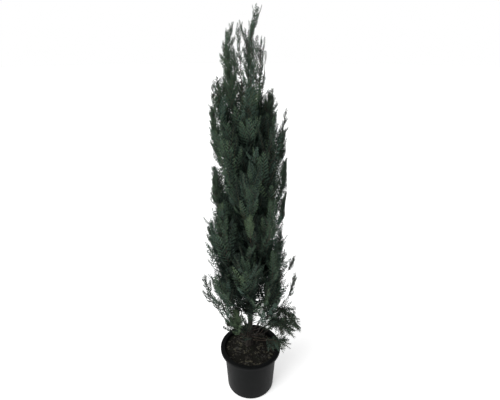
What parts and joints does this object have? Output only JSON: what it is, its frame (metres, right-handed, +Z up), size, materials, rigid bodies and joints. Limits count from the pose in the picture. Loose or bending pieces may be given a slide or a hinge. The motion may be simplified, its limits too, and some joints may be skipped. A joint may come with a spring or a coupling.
{
  "type": "potted conifer",
  "caption": "Young columnar Lawson cypress in a round nursery pot: trunk, upright boughs and flat sprays in separate foliage masses.",
  "frame": {"origin": "the middle of the pot's flat underside, on the surface it stands on", "axes": "+Z up the trunk; -Y to the front; +X to the plant's right as seen from the front"},
  "size_m": [0.4489, 0.3537, 1.656],
  "materials": {
    "pot": "black moulded plastic with a soft sheen and fine moulding lines",
    "compost": "dark moist compost with pale bark chips",
    "bark": "grey-brown scaly bark on the trunk, smoother red-brown on the boughs",
    "foliage": "dull blue-green scale leaves in flat sprays, lighter at the tips, matt with a slight sheen"
  },
  "bodies": {
    "root": {"bough_low_back": "bark", "bough_low_front": "bark", "bough_low_left": "bark", "bough_low_right": "bark", "bough_tier1_back_left": "bark", "bough_tier1_back_right": "bark", "bough_tier1_front_left": "bark", "bough_tier1_front_right": "bark", "bough_tier2_back": "bark", "bough_tier2_front": "bark", "bough_tier2_left": "bark", "bough_tier2_right": "bark", "bough_tier3_back_left": "bark", "bough_tier3_back_right": "bark", "bough_tier3_front_left": "bark", "bough_tier3_front_right": "bark", "bough_tier4_back": "bark", "bough_tier4_front": "bark", "bough_tier4_left": "bark", "bough_tier4_right": "bark", "compost": "compost", "foliage_bare_right": "foliage", "foliage_leader": "foliage", "foliage_leader_back": "foliage", "foliage_leader_left": "foliage", "foliage_leader_mid": "foliage", "foliage_leader_right": "foliage", "foliage_low_back": "foliage", "foliage_low_front": "foliage", "foliage_low_left": "foliage", "foliage_low_right": "foliage", "foliage_rim_right": "foliage", "foliage_shoulder_back": "foliage", "foliage_shoulder_front": "foliage", "foliage_shoulder_left": "foliage", "foliage_shoulder_right": "foliage", "foliage_tier1_back_left": "foliage", "foliage_tier1_back_right": "foliage", "foliage_tier1_front_left": "foliage", "foliage_tier1_front_right": "foliage", "foliage_tier2_back": "foliage", "foliage_tier2_front": "foliage", "foliage_tier2_left": "foliage", "foliage_tier2_right": "foliage", "foliage_tier3_back_left": "foliage", "foliage_tier3_back_right": "foliage", "foliage_tier3_front_left": "foliage", "foliage_tier3_front_right": "foliage", "foliage_tier4_back": "foliage", "foliage_tier4_front": "foliage", "foliage_tier4_left": "foliage", "foliage_tier4_right": "foliage", "foliage_tier5_back_left": "foliage", "foliage_tier5_back_right": "foliage", "foliage_tier5_front_left": "foliage", "foliage_tier5_front_right": "foliage", "pot": "pot", "trunk": "bark"}
  },
  "joints": []
}
